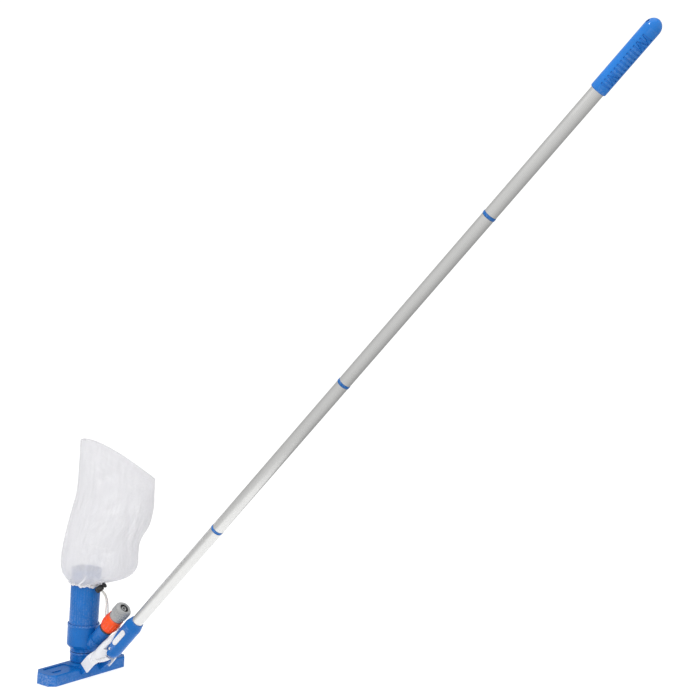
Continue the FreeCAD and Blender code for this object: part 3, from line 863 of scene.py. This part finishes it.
@dataclass
class MeshBag:
    """Debris bag: gathered by a cord at its hem, full above, closed by a slanting seam."""

    yaw: float = -57.0
    columns: int = 256
    rows: int = 132
    cloth: float = 0.45 * MM
    gathers: int = 17
    rings: tuple[BagRing, ...] = (
        BagRing(0.0, 168.4, 30.2, 30.2, 0.0), BagRing(0.0, 170.6, 31.0, 31.0, 0.0),
        BagRing(0.0, 173.2, 31.5, 31.5, 0.0), BagRing(1.0, 175.6, 32.2, 31.6, 0.0),
        BagRing(4.5, 178.2, 38.5, 33.5, 0.0), BagRing(12.0, 183.0, 51.0, 37.5, 0.0),
        BagRing(18.9, 193.0, 64.5, 42.0, 0.0), BagRing(22.2, 211.0, 71.2, 45.0, 0.0),
        BagRing(23.3, 236.0, 70.6, 45.5, 0.0), BagRing(26.2, 258.0, 70.2, 45.0, 0.0),
        BagRing(37.0, 292.0, 74.5, 42.0, 3.0), BagRing(45.2, 332.0, 73.6, 36.0, 10.0),
        BagRing(45.8, 370.0, 76.0, 25.0, 19.0), BagRing(45.7, 391.0, 77.6, 13.0, 22.5),
        BagRing(45.7, 401.0, 77.8, 5.0, 23.2), BagRing(45.7, 406.6, 77.8, 0.0, 23.2),
    )
    seam_half: float = 77.8
    dome: float = 13.4
    lock_clearance: float = 7.4
    creases: tuple[Fold, ...] = (
        Fold(5.50, 262.0, -0.0060, 34.0, 3.4), Fold(5.72, 268.0, -0.0035, 30.0, 2.6),
        Fold(5.30, 300.0, -0.0045, 30.0, 2.2), Fold(5.95, 286.0, 0.0010, 24.0, 1.4),
        Fold(4.45, 236.0, 0.0015, 46.0, 1.0), Fold(2.60, 250.0, 0.0030, 50.0, 1.8),
        Fold(1.20, 300.0, -0.0030, 44.0, 2.0),
    )
    tucks: tuple[Fold, ...] = (
        Fold(4.50, 181.0, 0.0010, 12.0, 1.5), Fold(4.92, 176.0, 0.0140, 9.0, 1.8),
        Fold(5.12, 176.0, 0.0170, 9.0, 1.5), Fold(4.20, 174.0, -0.0080, 7.0, 1.0),
        Fold(3.80, 175.0, -0.0100, 9.0, 1.2), Fold(3.30, 176.0, -0.0060, 10.0, 1.4),
        Fold(2.70, 178.0, 0.0020, 12.0, 1.5), Fold(2.10, 176.0, 0.0080, 9.0, 1.6),
        Fold(1.50, 179.0, -0.0050, 12.0, 1.4), Fold(0.90, 176.0, 0.0060, 10.0, 1.5),
        Fold(0.30, 178.0, -0.0040, 11.0, 1.3),
    )
    crease_width: float = 0.085
    lip_width: float = 0.09
    lip_off: float = 0.16
    tuck_width: float = 0.055
    hem: float = 168.4
    hem_reach: float = 5.0
    neck: float = 175.0
    neck_reach: float = 8.0
    gather_fade: float = 26.0
    folds_rise: float = 40.0
    folds_top: float = 366.0
    folds_fade: float = 36.0
    flat_from: float = 290.0
    flat_over: float = 110.0
    lock_ends: tuple[float, float] = (-8.0, 13.6)

    def level(self, share: float) -> BagRing:
        """Find the ring at a height.

        Args:
            share: Share of the way up.

        Returns:
            The ring, on a smooth curve through the listed ones.
        """
        place = min(share, 0.99999) * (len(self.rings) - 1)
        first = int(place)
        part = place - first
        last = len(self.rings) - 1
        near = [self.rings[min(max(first + step, 0), last)] for step in (-1, 0, 1, 2)]
        weights = (
            0.5 * (-part + 2 * part**2 - part**3),
            0.5 * (2 - 5 * part**2 + 3 * part**3),
            0.5 * (part + 4 * part**2 - 3 * part**3),
            0.5 * (part**3 - part**2),
        )
        return near[0].mixed(near[1:], weights)

    def tucked(self, angle: float, height: float) -> float:
        """Find how far the tight tucks beside the hem stand out.

        Args:
            angle: Angle round the bag.
            height: Height on it.

        Returns:
            How far out, in millimetres.
        """
        out = 0.0
        for tuck in self.tucks:
            out += tuck.depth * tuck.ridge(tuck.aside(angle, height), self.tuck_width, height)
        return out

    def ripple(self, angle: float, height: float) -> float:
        """Find how far the folds push the cloth out.

        Args:
            angle: Angle round the bag.
            height: Height on it.

        Returns:
            How far out, in millimetres.
        """
        above = max(height - self.neck, 0.0)
        wander = noise.noise(Vector((math.cos(angle) * 2.0, math.sin(angle) * 2.0, height * 0.02)))
        uneven = 0.55 + 0.45 * math.sin(3 * angle + 1.0)
        gather = math.sin(self.gathers * (angle + 0.17 * wander)) * uneven
        neck = 0.5 + min(above / self.neck_reach, 1.0)
        fading = math.exp(-max(above - self.neck_reach, 0.0) / self.gather_fade)
        around = Vector((math.cos(angle), math.sin(angle), 0.0))
        long_fold = noise.noise(around * 2.2 + Vector((7.0, 3.0, 1.0 + height * 0.007)))
        crumple = noise.noise(around * 4.5 + Vector((0.0, 0.0, height * 0.04)))
        below_seam = max(0.0, 1.0 - max(height - self.folds_top, 0.0) / self.folds_fade)
        body = min(above / self.folds_rise, 1.0) * below_seam
        folds = 3.0 * long_fold + 0.9 * crumple
        for crease in self.creases:
            off = crease.aside(angle, height)
            folds -= crease.depth * crease.ridge(off, self.crease_width, height)
            folds += 0.6 * crease.depth * crease.ridge(off - self.lip_off, self.lip_width, height)
        return gather * neck * fading + body * folds

    def clear_of_lock(self, spot: Vector) -> Vector:
        """Move a point of the cloth off the cord lock, where it would be inside it.

        Args:
            spot: The point, in the row frame.

        Returns:
            The point, moved if it has to be.
        """
        axes = CordLock(LOCK_CENTRE).matrix()
        local = axes.inverted() @ spot
        low, high = self.lock_ends
        along = min(max(local.z, low * MM), high * MM)
        off = local - Vector((0.0, 0.0, along))
        room = self.lock_clearance * MM
        if off.length >= room:
            return spot
        return axes @ (Vector((0.0, 0.0, along)) + off.normalized() * room)

    def point(self, turn: float, share: float) -> Vector:
        """A point of the cloth.

        Args:
            turn: Share of the way round.
            share: Share of the way up.

        Returns:
            The point in the row frame, in metres.
        """
        ring = self.level(share)
        angle = turn * FULL_TURN
        push = self.ripple(angle, ring.height)
        tuck = self.tucked(angle, ring.height)
        flat = min(max((ring.height - self.flat_from) / self.flat_over, 0.0), 1.0)
        lens = abs(math.sin(angle)) ** (0.5 * flat)
        side_push = push * (0.4 - 0.3 * flat) + tuck
        wide = (ring.half_width + side_push) * math.cos(angle)
        deep_room = min(1.0, max(ring.half_depth, 0.0) / 12.0)
        deep = (max(ring.half_depth, 0.0) * lens + push * deep_room + tuck) * math.sin(angle)
        lean = math.radians(ring.lean)
        along = min(max(wide / self.seam_half, -1.0), 1.0)
        rise = self.dome * flat**2 * (1.0 - along) ** 1.1 * (1.0 + along) ** 0.55
        hem = max(0.0, 1.0 - (ring.height - self.hem) / self.hem_reach)
        lift = 2.0 - 1.6 * math.cos(angle)
        scallop = hem * (lift + 1.3 * math.sin(9.0 * angle + 0.8) + 0.6 * math.sin(23.0 * angle))
        local = Vector((ring.offset + wide * math.cos(lean), deep,
                        ring.height - wide * math.sin(lean) + rise + scallop))
        return self.clear_of_lock(Matrix.Rotation(math.radians(self.yaw), 3, "Z") @ local * MM)

    def folded(self, turn: float, share: float) -> float:
        """Find how far the net lies on itself, in its tucks and its hem.

        Args:
            turn: Share of the way round.
            share: Share of the way up.

        Returns:
            That share, from 0 to 1.
        """
        height = self.level(share).height
        angle = turn * FULL_TURN
        pucker = 0.55 + 0.45 * math.sin(self.gathers * angle + 2.0 * math.sin(2.0 * angle))
        band = max(0.0, 1.0 - max(height - 172.0, 0.0) / 3.0)
        neck = pucker * max(0.0, 1.0 - max(height - 173.0, 0.0) / 12.0)
        seam = min(max((height - 404.0) / 2.0, 0.0), 1.0) * 0.5
        return min(1.0, 0.8 * self.tucked(angle, height) + 0.8 * band + 0.7 * neck + seam)

    def build(self, material: Material) -> None:
        """Args:
            material: The net.
        """
        bm = bmesh.new()
        layout = bm.loops.layers.uv.new("cloth")
        bmesh.ops.create_grid(bm, x_segments=self.columns, y_segments=self.rows, size=0.5)
        for face in bm.faces:
            for loop in face.loops:
                loop[layout].uv = (loop.vert.co.x + 0.5, loop.vert.co.y + 0.5)
        doubled = bm.verts.layers.float.new("folded")
        for vert in bm.verts:
            turn, share = vert.co.x + 0.5, vert.co.y + 0.5
            vert[doubled] = self.folded(turn, share)
            vert.co = self.point(turn, share)
        bmesh.ops.remove_doubles(bm, verts=bm.verts, dist=1e-5)
        bmesh.ops.recalc_face_normals(bm, faces=bm.faces)
        bag = Piece("mesh_bag_cloth", "head", Slot.MESH, material, ("mesh_bag",)).settle(bm)
        wall = bag.modifiers.new("cloth", "SOLIDIFY")
        wall.thickness = self.cloth
        wall.offset = -1.0


# ---------------------------------------- head


@dataclass
class SuctionHead:
    """The flat suction head with its sole, bristles and screws."""

    strip_half: float = 75.0 * MM
    strip_y: float = 19.0 * MM
    strip_width: float = 4.4 * MM
    bristle_tip: float = 0.05 * MM
    bristle_root: float = 2.0 * MM
    tufts: int = 40
    per_tuft: int = 13
    hair: float = 0.28 * MM
    screw_head: float = 3.0 * MM
    screw_places: tuple[tuple[float, float], ...] = ((-82.0, -10.0), (-82.0, 10.0), (82.0, -10.0), (82.0, 10.0))
    screw_face: float = 0.9
    screw_steps: tuple[tuple[float, float], ...] = ((1.0, 1.1 * MM), (0.45, 0.0), (1.0, 8.0 * MM))
    recess_depth: float = 0.9 * MM

    def bristles(self, name: str, side: int, material: Material) -> None:
        """Plant one strip of tufts.

        Args:
            name: The CAD node that it stands for.
            side: -1 for the front edge, 1 for the rear.
            material: The bristles' finish.
        """
        chance = random.Random(11 + side)
        bm = bmesh.new()
        pitch = 2 * self.strip_half / self.tufts
        height = self.bristle_root - self.bristle_tip
        for tuft in range(self.tufts):
            middle = -self.strip_half + (tuft + 0.5) * pitch
            for _ in range(self.per_tuft):
                x = middle + chance.uniform(-0.32, 0.32) * pitch
                y = side * self.strip_y + chance.uniform(-0.45, 0.45) * self.strip_width
                lean = Matrix.Rotation(chance.uniform(-0.12, 0.12), 4, "X")
                lean = lean @ Matrix.Rotation(chance.uniform(-0.12, 0.12), 4, "Y")
                place = Matrix.Translation((x, y, self.bristle_tip + height / 2)) @ lean
                bmesh.ops.create_cone(bm, cap_ends=True, segments=5, radius1=self.hair * 0.8,
                                      radius2=self.hair, depth=height * 0.96, matrix=place)
        Piece(name + "_tufts", "head", Slot.BRISTLE, material, (name,)).settle(bm)

    def screws(self, material: Material) -> None:
        """Add the four cross-head screws that hold the sole.

        Args:
            material: Their finish.
        """
        bm = bmesh.new()
        for place in self.screw_places:
            self.screw(bm, Vector((*place, self.screw_face)) * MM)
        tidy_normals(bm)
        Piece("sole_screws_cross", "head", Slot.STEEL, material, ("sole_screws",)).settle(bm, smooth=False)

    def in_cross(self, centre: Vector) -> bool:
        """Whether a cell of the screw's face is in its cross recess."""
        near, far = sorted((abs(centre.x), abs(centre.y)))
        return near < 0.12 and far < 0.68

    def screw(self, bm: BMesh, foot: Vector) -> None:
        """One screw with a cross recess, head down.

        Args:
            bm: The mesh that it is added to.
            foot: The middle of the head's face.
        """
        made = bmesh.ops.create_grid(bm, x_segments=9, y_segments=9, size=1.0)["verts"]
        cells = {face for vert in made for face in vert.link_faces}
        slots = [face for face in cells if self.in_cross(face.calc_center_median())]
        for vert in made:
            reach = max(abs(vert.co.x), abs(vert.co.y)) * self.screw_head
            vert.co = foot + vert.co.normalized() * reach
        rim = list({edge for vert in made for edge in vert.link_edges if edge.is_boundary})
        walls = list({edge for face in slots for edge in face.edges})
        posts = list({vert for face in slots for vert in face.verts})
        sunk = bmesh.ops.extrude_face_region(bm, geom=slots + walls + posts)["geom"]
        floor = [part for part in sunk if isinstance(part, bmesh.types.BMVert)]
        bmesh.ops.translate(bm, vec=(0.0, 0.0, self.recess_depth), verts=floor)
        to_axis = Matrix.Translation(-foot)
        for width, rise in self.screw_steps:
            grown = bmesh.ops.extrude_edge_only(bm, edges=rim)["geom"]
            ends = [part for part in grown if isinstance(part, bmesh.types.BMVert)]
            bmesh.ops.scale(bm, verts=ends, vec=(width, width, 1.0), space=to_axis)
            bmesh.ops.translate(bm, verts=ends, vec=(0.0, 0.0, rise))
            rim = [part for part in grown if isinstance(part, bmesh.types.BMEdge) and part.is_boundary]
        bmesh.ops.holes_fill(bm, edges=rim, sides=0)

    def build(self, dresser: Dresser) -> None:
        """Dress the head and add its bristles and screws.

        Args:
            dresser: Dresses CAD nodes, and holds the finishes.
        """
        dresser.dress(Slot.BLUE, "head_shell", "sole_plate")
        self.bristles("bristle_strip_front", -1, dresser.finishes[Slot.BRISTLE])
        self.bristles("bristle_strip_rear", 1, dresser.finishes[Slot.BRISTLE])
        self.screws(dresser.finishes[Slot.STEEL])


@dataclass
class Spring:
    """A wire spring wound along its axis."""

    name: str
    body: str
    node: str
    place: Matrix
    radius: float
    wire: float
    start: float
    end: float
    turns: float

    def build(self, material: Material, joint: str, anchor: float, keep: float) -> None:
        """Wind the spring.

        Args:
            material: The wire.
            joint: The joint that would press it; not used.
            anchor: Height on its own axis that stays; not used.
            keep: Share of its length that is left at the joint's limit; not used.
        """
        bm = bmesh.new()
        helix(bm, self.radius * MM, self.wire * MM, self.start * MM, self.end * MM, self.turns)
        tidy_normals(bm)
        bmesh.ops.transform(bm, matrix=self.place, verts=bm.verts)
        spring = Piece(self.name, self.body, Slot.STEEL, material, (self.node,)).settle(bm)
        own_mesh(spring)


@dataclass
class CordLock:
    """The sprung toggle on the drawcord."""

    centre: Vector
    yaw: float = -57.0
    lift: float = 42.0

    def matrix(self) -> Matrix:
        """Find the axes of the lock.

        Returns:
            A matrix whose z runs along the barrel towards its button.
        """
        yaw, lift = math.radians(self.yaw), math.radians(self.lift)
        along = Vector((math.cos(yaw) * math.cos(lift), math.sin(yaw) * math.cos(lift), math.sin(lift)))
        turn = along.to_track_quat("Z", "Y").to_matrix().to_4x4()
        return Matrix.Translation(self.centre) @ turn

    def build(self, dresser: Dresser) -> None:
        """Dress the lock and wind its spring.

        Args:
            dresser: Dresses CAD nodes, and holds the finishes.
        """
        dresser.dress(Slot.BLACK, "cord_lock_body", "cord_lock_button")
        spring = Spring("cord_lock_coil", "head", "cord_lock_spring", self.matrix(), radius=2.6, wire=0.4,
                        start=-4.5, end=-1.0, turns=4.0)
        spring.build(dresser.finishes[Slot.STEEL], "cord_lock_press", anchor=-5.0, keep=0.3)


@dataclass
class JetBody:
    """The neck collar, the bell that feeds the jets and the discharge tube."""

    def build(self, dresser: Dresser) -> None:
        """Dress the body, its seals and the tube."""
        dresser.dress(Slot.BLUE, "locking_collar", "venturi_body", "jet_ring", "discharge_tube")
        dresser.dress(Slot.RUBBER, "neck_seal", "tube_gasket")


@dataclass
class HoseConnector:
    """The quick connector on the inlet branch."""

    def build(self, dresser: Dresser) -> None:
        """Dress the connector and wind the spring behind its collar.

        Args:
            dresser: Dresses CAD nodes, and holds the finishes.
        """
        dresser.dress(Slot.ORANGE, "connector_collar")
        dresser.dress(Slot.GREY, "connector_core", "clamp_nut", "latch_claw_left", "latch_claw_right")
        dresser.dress(Slot.BLACK, "inlet_nipple", "hose_collet")
        dresser.dress(Slot.RUBBER, "inlet_seal")
        spring = Spring("collar_coil", "head", "collar_spring", INLET_AXES.matrix(), radius=12.3, wire=0.5,
                        start=16.6, end=25.2, turns=4.0)
        spring.build(dresser.finishes[Slot.STEEL], "collar_slide", anchor=26.0, keep=0.56)


@dataclass
class Handle:
    """The yoke, the socket, four screwed tubes with their rings, and the grip."""

    section: float = 368.0
    stub: float = 26.0
    thread_radius: float = 7.72
    thread_wire: float = 0.33
    thread_turns: float = 6.5
    seat: float = 3.0
    lead: float = 1.0
    tab_height: float = 66.0

    def thread(self, number: int, body: str, material: Material) -> None:
        """Wind the thread on a coupler's stub.

        Args:
            number: The joint, counted from the socket.
            body: The body that carries the coupler.
            material: The coupler's finish.
        """
        low = self.section * number - self.seat
        bm = bmesh.new()
        helix(bm, self.thread_radius * MM, self.thread_wire * MM, (low + self.lead) * MM,
              (low + self.stub) * MM, self.thread_turns)
        tidy_normals(bm)
        bmesh.ops.transform(bm, matrix=HANDLE_AXES.matrix(), verts=bm.verts)
        Piece(f"coupler_thread_{number}", body, Slot.BLUE, material).settle(bm)

    def build(self, dresser: Dresser, grip_blue: Material) -> None:
        """Dress the handle and add its threads and the spring of its lock.

        Args:
            dresser: Dresses CAD nodes, and holds the finishes.
            grip_blue: The grip's brighter blue.
        """
        dresser.dress(Slot.WHITE, "yoke", "lock_tab_left", "lock_tab_right", "pole_plug")
        dresser.dress(Slot.STEEL, "pivot_pin_left", "pivot_pin_right", "socket_pin")
        dresser.dress(Slot.BLUE, "pole_socket")
        dresser.dress(Slot.ALUMINIUM, *(f"pole_tube_{n}" for n in (1, 2, 3, 4)))
        for number in (1, 2, 3):
            dresser.dress(Slot.BLUE, f"joint_ring_{number}", f"joint_coupler_{number}",
                          f"joint_insert_{number}")
            self.thread(number, "handle" if number == 1 else f"pole_{number}", dresser.finishes[Slot.BLUE])
        dresser.dress(grip_blue, "grip")
        across = HANDLE_AXES.matrix() @ Matrix.Translation((0.0, 0.0, self.tab_height * MM))
        across = across @ Matrix.Rotation(math.pi / 2, 4, "Y")
        for side, low, high in (("left", -4.8, -0.3), ("right", 0.3, 4.8)):
            spring = Spring(f"lock_coil_{side}", "handle", "lock_spring", across, radius=3.4, wire=0.5,
                            start=low, end=high, turns=2.0)
            spring.build(dresser.finishes[Slot.STEEL], f"lock_tab_{side}_press", anchor=0.0, keep=0.7)


def corners() -> list[list[float]]:
    """Lowest and highest corner of the shown model."""
    return [list(corner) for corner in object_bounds()]


def main(frame: dict[str, object], cad_box: list[list[float]]) -> None:
    """Build every sub-assembly.

    Args:
        cad_box: The CAD model's box; not used.
    """
    logging.basicConfig(level=logging.INFO, format="%(name)s: %(message)s")
    CameraView().build()
    finishes = {slot: finish.make() for slot, finish in FINISHES.items()}
    Drawcord().build(finishes[Slot.CORD])
    dresser = Dresser(frame["nodes"], finishes)
    dresser.dress(Slot.CORD, "bag_drawcord")
    CordLock(LOCK_CENTRE).build(dresser)
    MeshBag().build(finishes[Slot.MESH])
    SuctionHead().build(dresser)
    JetBody().build(dresser)
    HoseConnector().build(dresser)
    Handle().build(dresser, GRIP_BLUE.make())
    Studio().build()


if __name__ == "__main__":
    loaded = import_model()
    main(loaded, corners())
